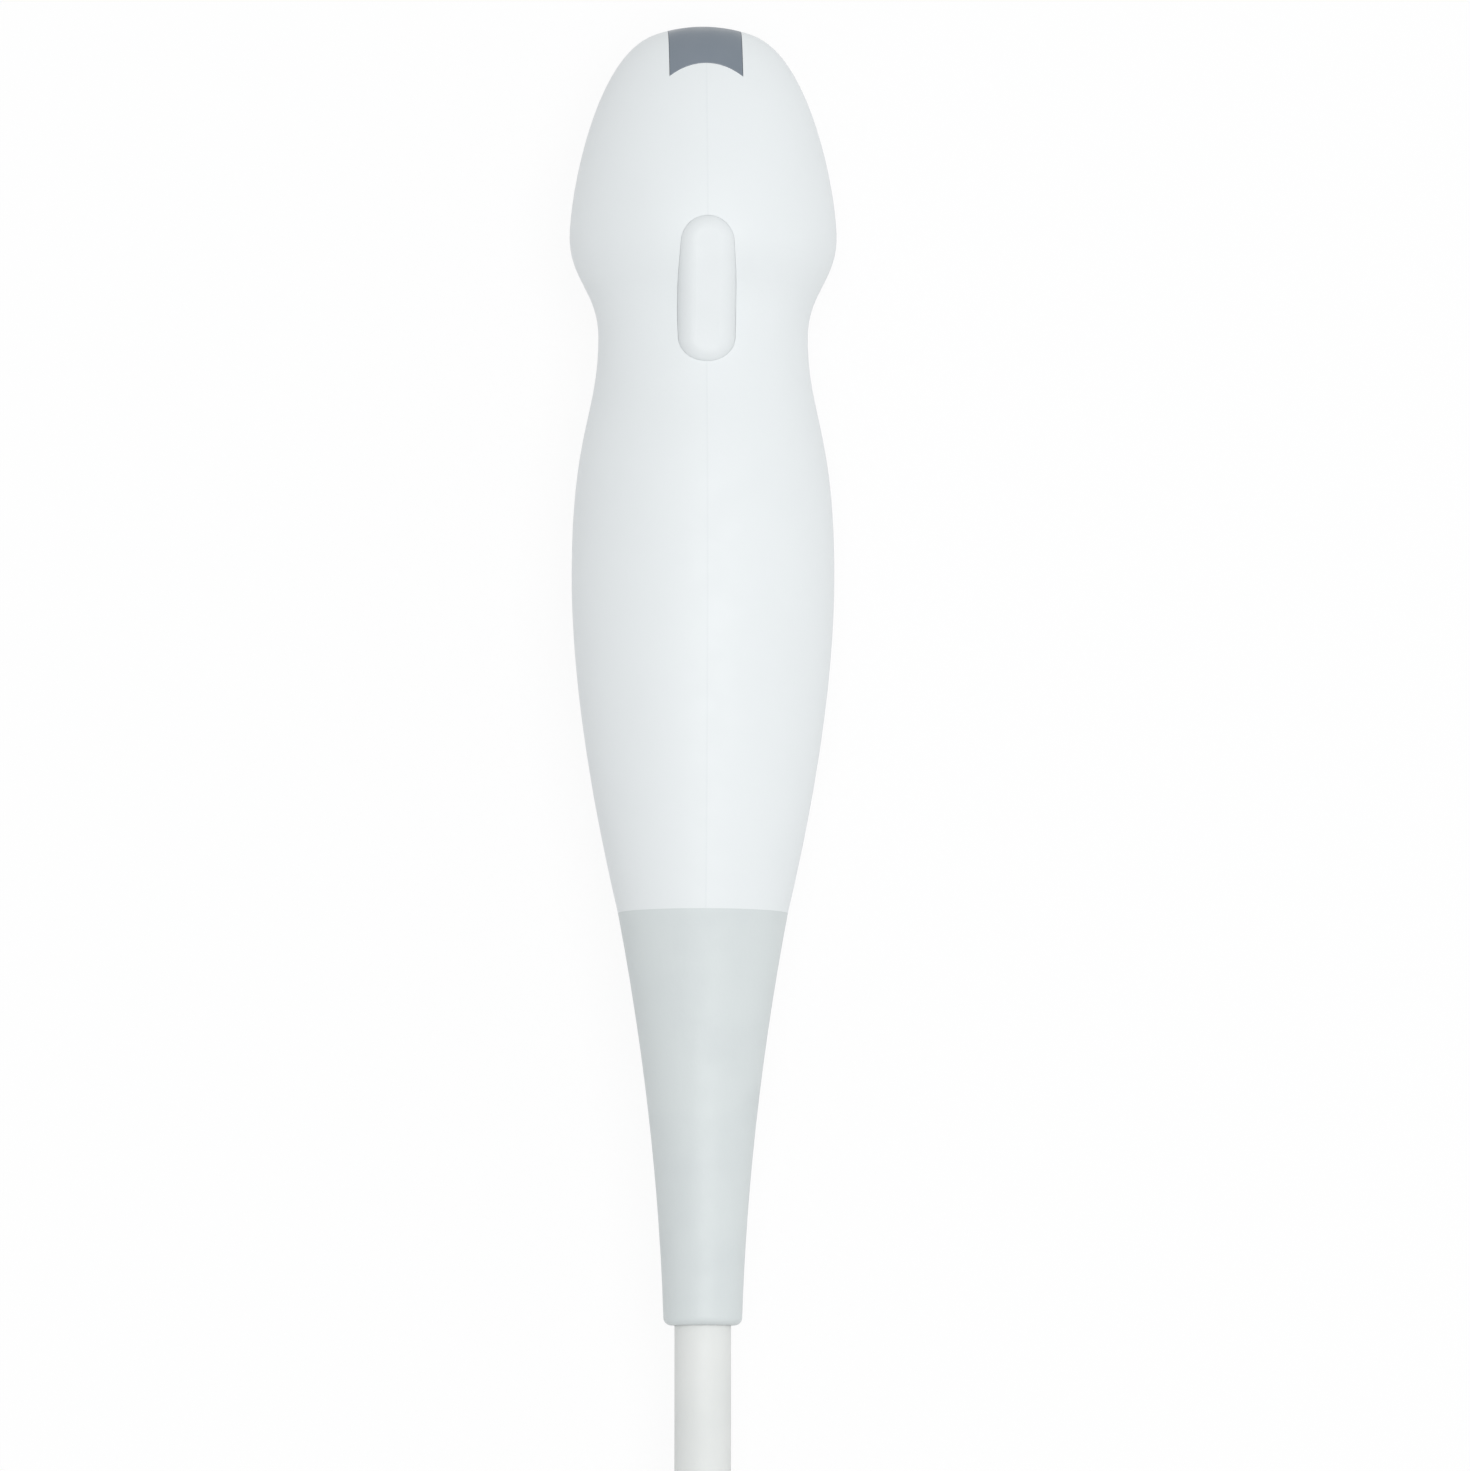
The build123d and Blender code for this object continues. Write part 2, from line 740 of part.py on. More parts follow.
with BuildPart() as connector_cover:
    with BuildSketch(connector_plane(connector_split)):
        RectangleRounded(connector_width, connector_length, radius=connector_corner)
    extrude(amount=connector_top - connector_split)
    fillet(connector_cover.faces().sort_by(Axis.Z)[-1].edges(), radius=connector_edge)
    chamfer(connector_cover.faces().sort_by(Axis.Z)[0].edges(), length=parting_chamfer)
    with BuildSketch(connector_plane(connector_split)):
        with GridLocations(connector_width, grip_rib_pitch, 2, grip_rib_count):
            Rectangle(2 * grip_rib_depth, grip_rib_width)
    extrude(amount=grip_rib_height)
    with BuildSketch(connector_plane(connector_split)):
        RectangleRounded(
            connector_width - 2 * connector_wall,
            connector_length - 2 * connector_wall,
            radius=connector_corner - connector_wall,
        )
    extrude(amount=cover_ceiling - connector_split, mode=Mode.SUBTRACT)
    with BuildSketch(connector_plane(connector_split)):
        with screw_places():
            Circle(screw_boss_radius)
    extrude(amount=cover_ceiling - connector_split)
    with BuildSketch(plug_plane(connector_split)):
        Circle(lock_shaft_radius + connector_wall)
    extrude(amount=cover_ceiling - connector_split)
    with BuildSketch(plug_plane(connector_split)):
        Circle(lock_shaft_radius + lock_fit)
    extrude(amount=connector_top - connector_split, mode=Mode.SUBTRACT)
    with BuildSketch(connector_plane(connector_split)):
        with screw_places():
            Circle(screw_radius + screw_gap)
    extrude(amount=cover_ceiling - connector_split, mode=Mode.SUBTRACT)
    with BuildSketch(boot_plane):
        Circle(boot_hole_radius)
    extrude(amount=connector_wall, mode=Mode.SUBTRACT)
export(connector_cover.part, "connector_cover")

screw_head_z = connector_underside + screw_head_height + screw_gap
with BuildPart() as casing_screws:
    with BuildSketch(connector_plane(screw_head_z - screw_head_height)):
        with screw_places():
            Circle(screw_head_radius)
    extrude(amount=screw_head_height)
    with BuildSketch(connector_plane(screw_head_z)):
        with screw_places():
            Circle(screw_radius)
    extrude(amount=screw_length)
    with BuildSketch(connector_plane(screw_head_z - screw_head_height)):
        with screw_places():
            RegularPolygon(screw_socket_radius, side_count=6)
    extrude(amount=screw_socket_depth, mode=Mode.SUBTRACT)
export(casing_screws.part, "casing_screws")

# Plug: metal shroud with a flange inside the base, and the contact block that it frames
plug_top = floor_top + plug_rise
with BuildPart() as plug_shroud:
    with BuildSketch(plug_plane(0)):
        RectangleRounded(plug_width, plug_length, radius=plug_corner)
    extrude(amount=plug_top)
    with BuildSketch(plug_plane(0)):
        with Locations((0, -plug_length / 2)):
            Rectangle(plug_key_width, 2 * plug_key_depth)
    extrude(amount=connector_underside - part_gap)
    with BuildSketch(plug_plane(floor_top)):
        RectangleRounded(
            plug_width + 2 * plug_flange, plug_length + 2 * plug_flange, radius=plug_corner + plug_flange
        )
    extrude(amount=plug_flange)
    with BuildSketch(plug_plane(0)):
        RectangleRounded(
            plug_width - 2 * plug_wall, plug_length - 2 * plug_wall, radius=plug_corner - plug_wall
        )
    extrude(amount=plug_top, mode=Mode.SUBTRACT)
export(plug_shroud.part, "plug_shroud")

board_bottom = plug_top + plug_flange
with BuildPart() as contact_block:
    with BuildSketch(plug_plane(contact_face)):
        RectangleRounded(
            plug_width - 2 * plug_wall - 2 * part_gap,
            plug_length - 2 * plug_wall - 2 * part_gap,
            radius=plug_corner - plug_wall,
        )
    extrude(amount=plug_top - contact_face)
    with BuildSketch(plug_plane(plug_top)):
        RectangleRounded(plug_width, plug_length, radius=plug_corner)
    extrude(amount=plug_flange)
    with BuildSketch(plug_plane(contact_face)):
        Circle(lock_shaft_radius + lock_clearance)
    extrude(amount=board_bottom - contact_face, mode=Mode.SUBTRACT)
export(contact_block.part, "contact_block")

with BuildPart() as contact_pins:
    with BuildSketch(plug_plane(contact_face)):
        with Locations((0, contact_field_offset), (0, -contact_field_offset)):
            with GridLocations(contact_pitch, contact_pitch, contact_columns, contact_rows):
                Rectangle(contact_side, contact_side)
    extrude(amount=-contact_length)
export(contact_pins.part, "contact_pins")

with BuildPart() as connector_board:
    with BuildSketch(plug_plane(board_bottom)):
        Rectangle(plug_width, plug_length)
        Circle(lock_shaft_radius + lock_clearance, mode=Mode.SUBTRACT)
    extrude(amount=connector_board_thickness)
export(connector_board.part, "connector_board")

# Cable end inside the connector: boot, ferrule and the wires that fan out onto the board
boot_flange_end = connector_wall + 2 * part_gap + connector_boot_flange
boot_profile_plane = Plane(boot_plane.origin, x_dir=(1, 0, 0), z_dir=(0, 0, -1))
with BuildPart() as connector_boot:
    with BuildSketch(boot_profile_plane):
        with BuildLine():
            Polyline(
                (cable_radius + part_gap, -connector_boot_length),
                (connector_boot_end_radius, -connector_boot_length),
                (connector_boot_radius, 0),
                (connector_boot_neck_radius, 0),
                (connector_boot_neck_radius, connector_wall + part_gap),
                (connector_boot_radius, connector_wall + part_gap),
                (connector_boot_radius, boot_flange_end),
                (cable_radius + part_gap, boot_flange_end),
                close=True,
            )
        make_face()
    revolve(axis=Axis(boot_plane.origin, (0, 1, 0)))
    with BuildSketch(boot_profile_plane):
        for groove in range(1, boot_groove_count + 1):
            share = groove / (boot_groove_count + 1)
            surface = connector_boot_radius + share * (connector_boot_end_radius - connector_boot_radius)
            with Locations((surface, -share * connector_boot_length)):
                Rectangle(2 * boot_groove_depth, boot_groove_width)
    revolve(axis=Axis(boot_plane.origin, (0, 1, 0)), mode=Mode.SUBTRACT)
    fillet(connector_boot.edges().sort_by(Axis.Y)[-1], radius=connector_boot_end_radius / 8)
export(connector_boot.part, "connector_boot")

with BuildPart() as connector_ferrule:
    with BuildSketch(boot_plane.offset(boot_flange_end)):
        Circle(cable_radius + part_gap + ferrule_wall)
        Circle(cable_radius + part_gap, mode=Mode.SUBTRACT)
    extrude(amount=ferrule_length)
export(connector_ferrule.part, "connector_ferrule")

board_top = board_bottom + connector_board_thickness
wires_end = Plane(
    origin=(connector_x, plug_y + plug_length / 2, board_top + wires_height / 2),
    x_dir=(1, 0, 0),
    z_dir=(0, -1, 0),
)
with BuildPart() as connector_wires:
    with BuildSketch(boot_plane.offset(boot_flange_end + ferrule_length)):
        Circle(bundle_diameter / 2)
    with BuildSketch(wires_end):
        Rectangle(wires_width, wires_height)
    loft()
    with BuildSketch(wires_end):
        Rectangle(wires_width, wires_height)
    extrude(amount=wires_overlap)
export(connector_wires.part, "connector_wires")

# Lock: a shaft with a cross bar under the contacts, turned by the handle on the cover
lever_bottom = connector_top + lever_gap
lever_top = lever_bottom + lever_thickness
shaft_top = lever_top - lever_screw_head_height - part_gap
bar_top = lock_bar_rise + lock_bar_height
with BuildPart() as lock_shaft:
    with BuildSketch(plug_plane(lock_bar_rise)):
        SlotOverall(lock_bar_length, lock_bar_width)
    extrude(amount=lock_bar_height)
    with BuildSketch(plug_plane(bar_top)):
        Circle(lock_shaft_radius)
    extrude(amount=shaft_top - bar_top)
    with BuildSketch(plug_plane(shaft_top)):
        Circle(lever_screw_radius + part_gap)
    extrude(amount=-lever_screw_length, mode=Mode.SUBTRACT)
export(lock_shaft.part, "lock_shaft")

with BuildPart() as lock_lever:
    with BuildSketch(plug_plane(lever_bottom)):
        Circle(lever_hub_radius)
        with Locations((0, -lever_reach + lever_tip_width / 2)):
            Circle(lever_tip_width / 2)
        make_hull()
    extrude(amount=lever_thickness)
    fillet(lock_lever.faces().sort_by(Axis.Z)[-1].edges(), radius=lever_edge)
    with BuildSketch(plug_plane(lever_top)):
        with Locations((0, -lever_reach + lever_tip_width)):
            with GridLocations(lever_tip_width, lever_groove_pitch, 1, lever_groove_count):
                Rectangle(lever_tip_width / 2, lever_groove_width)
    extrude(amount=-lever_groove_depth, mode=Mode.SUBTRACT)
    with BuildSketch(plug_plane(lever_bottom)):
        Circle(lock_shaft_radius + lock_fit)
    extrude(amount=shaft_top - lever_bottom, mode=Mode.SUBTRACT)
    with BuildSketch(plug_plane(shaft_top)):
        Circle(lever_screw_head_radius + part_gap)
    extrude(amount=lever_top - shaft_top, mode=Mode.SUBTRACT)
export(lock_lever.part, "lock_lever")

with BuildPart() as lever_screw:
    with BuildSketch(plug_plane(shaft_top)):
        Circle(lever_screw_head_radius)
    extrude(amount=lever_screw_head_height)
    with BuildSketch(plug_plane(shaft_top)):
        Circle(lever_screw_radius)
    extrude(amount=part_gap - lever_screw_length)
    with BuildSketch(plug_plane(shaft_top + lever_screw_head_height)):
        RegularPolygon(lever_socket_radius, side_count=6)
    extrude(amount=-lever_socket_depth, mode=Mode.SUBTRACT)
export(lever_screw.part, "lever_screw")
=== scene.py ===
import json
from math import cos, pi, radians, sin, tan

import bpy
from mathutils import Matrix, Vector


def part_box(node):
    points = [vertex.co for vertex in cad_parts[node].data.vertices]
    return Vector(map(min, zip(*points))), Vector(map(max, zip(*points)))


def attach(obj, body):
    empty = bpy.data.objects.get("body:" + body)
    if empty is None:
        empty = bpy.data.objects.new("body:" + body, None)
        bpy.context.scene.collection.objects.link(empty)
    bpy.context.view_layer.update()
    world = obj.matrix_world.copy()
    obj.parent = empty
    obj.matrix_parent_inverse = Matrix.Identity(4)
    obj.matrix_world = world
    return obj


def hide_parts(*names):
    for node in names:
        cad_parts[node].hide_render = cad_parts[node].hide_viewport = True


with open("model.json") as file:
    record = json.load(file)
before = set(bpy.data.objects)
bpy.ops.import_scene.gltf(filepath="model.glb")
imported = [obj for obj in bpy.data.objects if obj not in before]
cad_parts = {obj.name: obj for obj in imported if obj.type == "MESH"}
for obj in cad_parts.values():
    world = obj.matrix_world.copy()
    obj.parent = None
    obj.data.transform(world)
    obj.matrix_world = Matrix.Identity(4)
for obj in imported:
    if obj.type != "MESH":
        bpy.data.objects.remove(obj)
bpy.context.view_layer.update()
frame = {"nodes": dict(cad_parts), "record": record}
nodes = frame["nodes"]
scene = bpy.context.scene
mm = 0.001

# Places taken from the frame
head_low, head_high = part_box("right_housing")
boot_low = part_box("strain_relief")[0]
hank_low, hank_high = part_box("cable_hank")
tie_low, tie_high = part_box("cable_tie")
axis_height = (head_low.z + head_high.z) / 2
cable_exit = Vector((0, boot_low.y, axis_height))
hank_middle_x = (hank_low.x + hank_high.x) / 2
hank_middle_y = (hank_low.y + hank_high.y) / 2

# Camera: nearly straight down on the marker side, with the lens end of the probe up
image_width = 1470
image_height = 1471
pixel_size = 0.1155 * mm
view_middle = Vector((3.7 * mm, -7.3 * mm, axis_height))
view_distance = 1.0
view_tilt = radians(5.2)
view_yaw = radians(2.5)
view_end = 10.0
sensor_size = 36.0

# Cable, with its reach into the two boots and its place at the connector
cable_diameter = 6.5 * mm
cable_bevel_steps = 6
cable_point_steps = 8
lead_inside = 8 * mm
tail_inside = 10 * mm
connector_cable_x = 3.5 * mm
connector_cable_z = 20.5 * mm

# Hank: the windows in which its turns change place in the near fold are staggered from turn to turn
hank_columns = 2
hank_turns = 7
hank_run = 58 * mm
run_points = 3
fold_points = 12
shift_angle = radians(84)
shift_stagger = radians(15)

# Strap of the cable tie
strap_thickness = 0.6 * mm
strap_gap = 0.05 * mm
strap_edge = 0.15 * mm
strap_corner = 4 * mm
strap_rise = 7 * mm
strap_overlap = 12 * mm
strap_start = radians(2)
strap_step = 1 * mm
strap_crease = radians(30)
hull_directions = 180

# Floor and light
floor_size = 6.0
floor_drop = 0.2 * mm
floor_grey = 0.9
floor_white_share = 0.9
world_strength = 0.62
world_colour = (0.98, 0.99, 1.0, 1)

# Phase that the wave texture turns through in a metre at a scale of 1, in radians
wave_phase = 20


def linear(hex_colour):
    """Linear colour of a hexadecimal display colour."""
    shares = [int(hex_colour[i : i + 2], 16) / 255 for i in (1, 3, 5)]
    return [s / 12.92 if s <= 0.04045 else ((s + 0.055) / 1.055) ** 2.4 for s in shares] + [1.0]


def eased(share):
    """Smooth step from 0 to 1, along half a cosine wave."""
    return (1 - cos(pi * min(max(share, 0.0), 1.0))) / 2


# Camera
camera = bpy.data.objects.new("camera", bpy.data.cameras.new("camera"))
scene.collection.objects.link(camera)
scene.camera = camera
back = Vector((-tan(view_yaw), -tan(view_tilt), 1)).normalized()
right = Vector((0, 1, 0)).cross(back).normalized()
up = back.cross(right)
camera.matrix_world = Matrix.Translation(view_middle + view_distance * back) @ Matrix(
    (right, up, back)
).transposed().to_4x4()
camera.data.sensor_width = sensor_size
camera.data.lens = sensor_size * view_distance / (max(image_width, image_height) * pixel_size)
camera.data.clip_end = view_end


# Cable route, with the hank's turns wound by a loop
def hank_slot(turn):
    """Distance of a turn from the hank's middle line and its height."""
    layer = turn // hank_columns
    column = (turn + layer) % hank_columns
    outermost = (hank_high.x - hank_low.x - cable_diameter) / 2
    lowest = hank_low.z + cable_diameter / 2
    return outermost - column * cable_diameter, lowest + layer * cable_diameter


def hank_point(radius, height, end_y, angle):
    """Point on a fold of the hank, or on a run where the angle is 0 or a half turn."""
    return Vector((hank_middle_x + radius * cos(angle), end_y + radius * sin(angle), height))


def hank_turn(turn):
    """Control points of one turn: left run, far fold, right run and near fold into the next turn."""
    radius, height = hank_slot(turn)
    next_radius, next_height = hank_slot(turn + 1)
    near_y = hank_middle_y + hank_run / 2
    far_y = hank_middle_y - hank_run / 2
    step = pi / fold_points
    bulge = 1 / cos(step / 2)
    shares = [(i + 1) / (run_points + 1) for i in range(run_points)]
    points = [hank_point(radius, height, near_y - s * hank_run, pi) for s in shares]
    for i in range(fold_points + 1):
        swell = bulge if 0 < i < fold_points else 1
        points.append(hank_point(radius * swell, height, far_y, pi + i * step))
    points += [hank_point(radius, height, far_y + s * hank_run, 0) for s in shares]
    shift_start = (hank_turns - 1 - turn) * shift_stagger
    for i in range(fold_points + 1):
        swell = bulge if 0 < i < fold_points else 1
        moved = eased((i * step - shift_start) / shift_angle)
        fold_radius = radius + moved * (next_radius - radius)
        fold_height = height + moved * (next_height - height)
        points.append(hank_point(fold_radius * swell, fold_height, near_y, i * step))
    return points


first_radius, first_height = hank_slot(0)
last_height = hank_slot(hank_turns)[1]
outer_run_x = hank_middle_x - first_radius
hank_end_y = hank_middle_y - hank_run / 2

lead_route = [
    cable_exit + Vector((0, lead_inside, 0)),
    cable_exit,
    Vector((0, cable_exit.y - 14.7 * mm, axis_height)),
    Vector((0, cable_exit.y - 21.7 * mm, 12.6 * mm)),
    Vector((-3.6 * mm, cable_exit.y - 31.7 * mm, 8.6 * mm)),
    Vector((-9.0 * mm, cable_exit.y - 44.7 * mm, 4.2 * mm)),
    Vector((outer_run_x, cable_exit.y - 59.7 * mm, first_height)),
    Vector((outer_run_x, cable_exit.y - 73.7 * mm, first_height)),
]
tail_route = [
    Vector((outer_run_x, hank_end_y + 4 * mm, last_height)),
    Vector((outer_run_x + 1.2 * mm, hank_end_y - 10 * mm, last_height - 0.4 * mm)),
    Vector((-8.0 * mm, hank_end_y - 25 * mm, 22.8 * mm)),
    Vector((-0.5 * mm, hank_end_y - 40 * mm, 21.2 * mm)),
    Vector((connector_cable_x, hank_end_y - 55 * mm, connector_cable_z)),
    Vector((connector_cable_x, hank_end_y - 69 * mm, connector_cable_z)),
    Vector((connector_cable_x, hank_end_y - 69 * mm - tail_inside, connector_cable_z)),
]
hank_points = [point for turn in range(hank_turns) for point in hank_turn(turn)]
cable_points = lead_route + hank_points[1:] + tail_route

cable_curve = bpy.data.curves.new("cable_jacket", "CURVE")
cable_curve.dimensions = "3D"
cable_curve.bevel_depth = 1
cable_curve.bevel_resolution = cable_bevel_steps
cable_curve.resolution_u = cable_point_steps
cable_curve.use_fill_caps = True
cable_spline = cable_curve.splines.new("NURBS")
cable_spline.points.add(len(cable_points) - 1)
for control, point in zip(cable_spline.points, cable_points):
    control.co = (*point, 1)
    control.radius = cable_diameter / 2
cable_spline.order_u = 3
cable_spline.use_endpoint_u = True
cable = bpy.data.objects.new("cable_jacket", cable_curve)
scene.collection.objects.link(cable)


# Strap of the cable tie, tight round the runs on the hank's right side, with its tongue lapped over
def strap_hull():
    """Closed outline round the bundled runs, as places and outward directions from the strap's start."""
    slots = [hank_slot(turn) for turn in range(hank_turns)]
    runs = [Vector((hank_middle_x + radius, 0, height)) for radius, height in slots]
    outline = []
    for i in range(hull_directions + 1):
        angle = strap_start + 2 * pi * i / hull_directions
        outward = Vector((cos(angle), 0, sin(angle)))
        furthest = max(runs, key=outward.dot)
        outline.append((furthest + outward * (cable_diameter / 2 + strap_gap), outward))
    return outline


def strap_stations(outline):
    """Places, outward directions and distances from the nearer end, at even steps along the strap."""
    places = [place for place, outward in outline]
    lengths = [0.0]
    for before, after in zip(places, places[1:]):
        lengths.append(lengths[-1] + (after - before).length)
    girth = lengths[-1]
    strap_length = girth + strap_overlap
    count = round(strap_length / strap_step)
    stations = []
    for i in range(count + 1):
        travel = strap_length * i / count
        around = travel % girth
        k = max(k for k, length in enumerate(lengths[:-1]) if length <= around)
        share = (around - lengths[k]) / (lengths[k + 1] - lengths[k])
        place = places[k].lerp(places[k + 1], share)
        outward = outline[k][1].lerp(outline[k + 1][1], share).normalized()
        lift = (strap_thickness + strap_gap) * eased((travel - girth + strap_rise) / strap_rise)
        stations.append((place + lift * outward, outward, min(travel, strap_length - travel)))
    return stations


def strap_section(place, outward, end_distance):
    """Corners of the strap's bevelled section, narrower where the strap's ends are rounded."""
    inside_corner = max(strap_corner - end_distance, 0)
    cut_back = strap_corner - (strap_corner**2 - inside_corner**2) ** 0.5
    half_width = (tie_high.y - tie_low.y) / 2 - min(cut_back, strap_corner - strap_edge)
    middle = place + Vector((0, (tie_low.y + tie_high.y) / 2, 0))
    flat = half_width - strap_edge
    top_edge = strap_thickness - strap_edge
    right_side = [(flat, 0), (half_width, strap_edge), (half_width, top_edge), (flat, strap_thickness)]
    left_side = [(-across, rise) for across, rise in reversed(right_side)]
    return [
        middle + Vector((0, across, 0)) + rise * outward for across, rise in right_side + left_side
    ]


strap_sections = [strap_section(*station) for station in strap_stations(strap_hull())]
corner_count = len(strap_sections[0])
last_corner = len(strap_sections) * corner_count
strap_faces = [
    tuple(range(corner_count)),
    tuple(reversed(range(last_corner - corner_count, last_corner))),
]
for near in range(0, last_corner - corner_count, corner_count):
    far = near + corner_count
    for k in range(corner_count):
        beside = (k + 1) % corner_count
        strap_faces.append((near + beside, near + k, far + k, far + beside))
strap_mesh = bpy.data.meshes.new("cable_strap")
strap_mesh.from_pydata([corner for section in strap_sections for corner in section], [], strap_faces)
strap_mesh.shade_smooth()
strap_mesh.set_sharp_from_angle(angle=strap_crease)
strap = bpy.data.objects.new("cable_strap", strap_mesh)
scene.collection.objects.link(strap)
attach(strap, "probe")
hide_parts("cable_tie")

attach(cable, "probe")
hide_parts("cable", "cable_hank", "cable_tail")


# Materials
class Finish:
    """A node material: a Principled shader and the textures that feed it, placed in metres."""

    def __init__(self, name, colour, roughness, metallic=0.0):
        self.material = bpy.data.materials.new(name)
        self.material.use_nodes = True
        self.nodes = self.material.node_tree.nodes
        self.links = self.material.node_tree.links
        self.shader = self.nodes["Principled BSDF"]
        self.colour = linear(colour)
        self.shader.inputs["Base Color"].default_value = self.colour
        self.shader.inputs["Roughness"].default_value = roughness
        self.shader.inputs["Metallic"].default_value = metallic
        self.place = self.nodes.new("ShaderNodeTexCoord").outputs["Object"]
        self.normal = None

    def feed(self, socket, value):
        """Links an output to an input, or sets the input to a constant."""
        if isinstance(value, bpy.types.NodeSocket):
            self.links.new(value, socket)
        else:
            socket.default_value = value

    def stretched(self, stretch):
        """Texture place with each axis scaled."""
        mapping = self.nodes.new("ShaderNodeMapping")
        mapping.inputs["Scale"].default_value = stretch
        self.links.new(self.place, mapping.inputs["Vector"])
        return mapping.outputs["Vector"]

    def noise(self, size, detail=2.0, stretch=(1, 1, 1)):
        """Noise with features of a size in metres."""
        node = self.nodes.new("ShaderNodeTexNoise")
        node.inputs["Scale"].default_value = 1 / size
        node.inputs["Detail"].default_value = detail
        self.links.new(self.stretched(stretch), node.inputs["Vector"])
        return node.outputs["Fac"]

    def cells(self, size, stretch=(1, 1, 1), output="Distance"):
        """Cell pattern of a size in metres."""
        node = self.nodes.new("ShaderNodeTexVoronoi")
        node.inputs["Scale"].default_value = 1 / size
        self.links.new(self.stretched(stretch), node.inputs["Vector"])
        return node.outputs[output]

    def bands(self, size, direction, distortion=0.0, stretch=(1, 1, 1)):
        """Even bands across an axis, a size in metres apart."""
        node = self.nodes.new("ShaderNodeTexWave")
        node.bands_direction = direction
        node.inputs["Scale"].default_value = 2 * pi / (wave_phase * size)
        node.inputs["Distortion"].default_value = distortion
        self.links.new(self.stretched(stretch), node.inputs["Vector"])
        return node.outputs["Fac"]

    def axis(self, name):
        """One coordinate of the place, in metres."""
        node = self.nodes.new("ShaderNodeSeparateXYZ")
        self.links.new(self.place, node.inputs["Vector"])
        return node.outputs[name]

    def math(self, operation, first, second=0.0):
        """A value worked out from two others."""
        node = self.nodes.new("ShaderNodeMath")
        node.operation = operation
        self.feed(node.inputs[0], first)
        self.feed(node.inputs[1], second)
        return node.outputs["Value"]

    def between(self, value, low, high, new_low=0.0, new_high=1.0):
        """A value moved smoothly from one range to another."""
        node = self.nodes.new("ShaderNodeMapRange")
        node.interpolation_type = "SMOOTHSTEP"
        self.links.new(value, node.inputs["Value"])
        for name, number in (
            ("From Min", low), ("From Max", high), ("To Min", new_low), ("To Max", new_high)
        ):
            node.inputs[name].default_value = number
        return node.outputs["Result"]

    def tint(self, factor, colour, amount=1.0):
        """Lays another colour over the surface where the factor is high."""
        node = self.nodes.new("ShaderNodeMix")
        node.data_type = "RGBA"
        self.feed(node.inputs["Factor"], self.math("MULTIPLY", factor, amount))
        self.feed(node.inputs["A"], self.colour)
        self.feed(node.inputs["B"], linear(colour))
        self.colour = node.outputs["Result"]
        self.links.new(self.colour, self.shader.inputs["Base Color"])

    def rough(self, factor, low, high):
        """Lets the roughness follow a texture."""
        self.links.new(self.between(factor, 0.25, 0.75, low, high), self.shader.inputs["Roughness"])

    def bump(self, height, depth):
        """Relief of a depth in metres."""
        node = self.nodes.new("ShaderNodeBump")
        node.inputs["Distance"].default_value = depth
        self.links.new(height, node.inputs["Height"])
        if self.normal:
            self.links.new(self.normal, node.inputs["Normal"])
        self.normal = node.outputs["Normal"]
        self.links.new(self.normal, self.shader.inputs["Normal"])


def moulded(name, colour, shade, roughness, grain=0.35 * mm, depth=0.012 * mm, clouding=0.6):
    """Moulded plastic or rubber: fine grain, faint clouding and uneven gloss."""
    finish = Finish(name, colour, roughness)
    finish.tint(finish.between(finish.noise(9 * mm, 3), 0.35, 0.75), shade, clouding)
    finish.rough(finish.noise(2.5 * mm, 3), roughness - 0.05, roughness + 0.06)
    finish.bump(finish.noise(grain, 2), depth)
    return finish


def metal(name, colour, shade, roughness, stretch=(1, 14, 1), grain=1.2 * mm):
    """Metal with drawn or brushed streaks."""
    finish = Finish(name, colour, roughness, metallic=1.0)
    streaks = finish.noise(grain, 4, stretch)
    finish.tint(finish.between(streaks, 0.4, 0.7), shade, 0.7)
    finish.rough(streaks, roughness - 0.08, roughness + 0.12)
    finish.bump(streaks, 0.004 * mm)
    return finish


def housing_finish():
    """White housing plastic, with painted shade darkening the hairline where its halves meet."""
    finish = moulded("housing_plastic", "#E6EAEB", "#E2E6E7", 0.52, depth=0.006 * mm, clouding=0.3)
    distance = finish.math("ABSOLUTE", finish.axis("X"))
    # Painted shade: the seam's place is real, and its darker line stands in for the shade in the seam's
    # groove.
    seam_shade = finish.between(distance, 0.03 * mm, 0.16 * mm, 1, 0)
    finish.tint(seam_shade, "#D3D9DB", 0.2)
    return finish


def ceramic_finish():
    """Sintered piezo ceramic with fine grains and a silver electrode."""
    finish = Finish("piezo_ceramic", "#C9B98F", 0.5)
    finish.tint(finish.between(finish.cells(0.12 * mm), 0.1, 0.5), "#A99A72", 0.6)
    finish.tint(finish.between(finish.noise(0.8 * mm, 3), 0.52, 0.62), "#D8D4C6", 0.5)
    finish.rough(finish.noise(0.3 * mm), 0.42, 0.6)
    finish.bump(finish.cells(0.12 * mm), 0.004 * mm)
    return finish


def resin_finish(name, colour, speck, size):
    """Cast resin loaded with powder."""
    finish = Finish(name, colour, 0.5)
    finish.tint(finish.between(finish.cells(size), 0.12, 0.02), speck, 0.8)
    finish.tint(finish.between(finish.noise(3 * mm, 3), 0.45, 0.7), speck, 0.25)
    finish.rough(finish.noise(1.2 * mm), 0.42, 0.6)
    finish.bump(finish.noise(size), 0.01 * mm)
    return finish


def flex_finish():
    """Amber polyimide film with rows of copper tracks."""
    finish = Finish("flex_film", "#B9772B", 0.32)
    tracks = finish.between(finish.bands(0.45 * mm, "Z"), 0.45, 0.6)
    finish.tint(tracks, "#8A4E1C", 0.8)
    finish.tint(finish.between(finish.noise(2 * mm, 3), 0.4, 0.7), "#C98A3A", 0.4)
    finish.rough(tracks, 0.26, 0.4)
    finish.bump(tracks, 0.012 * mm)
    return finish


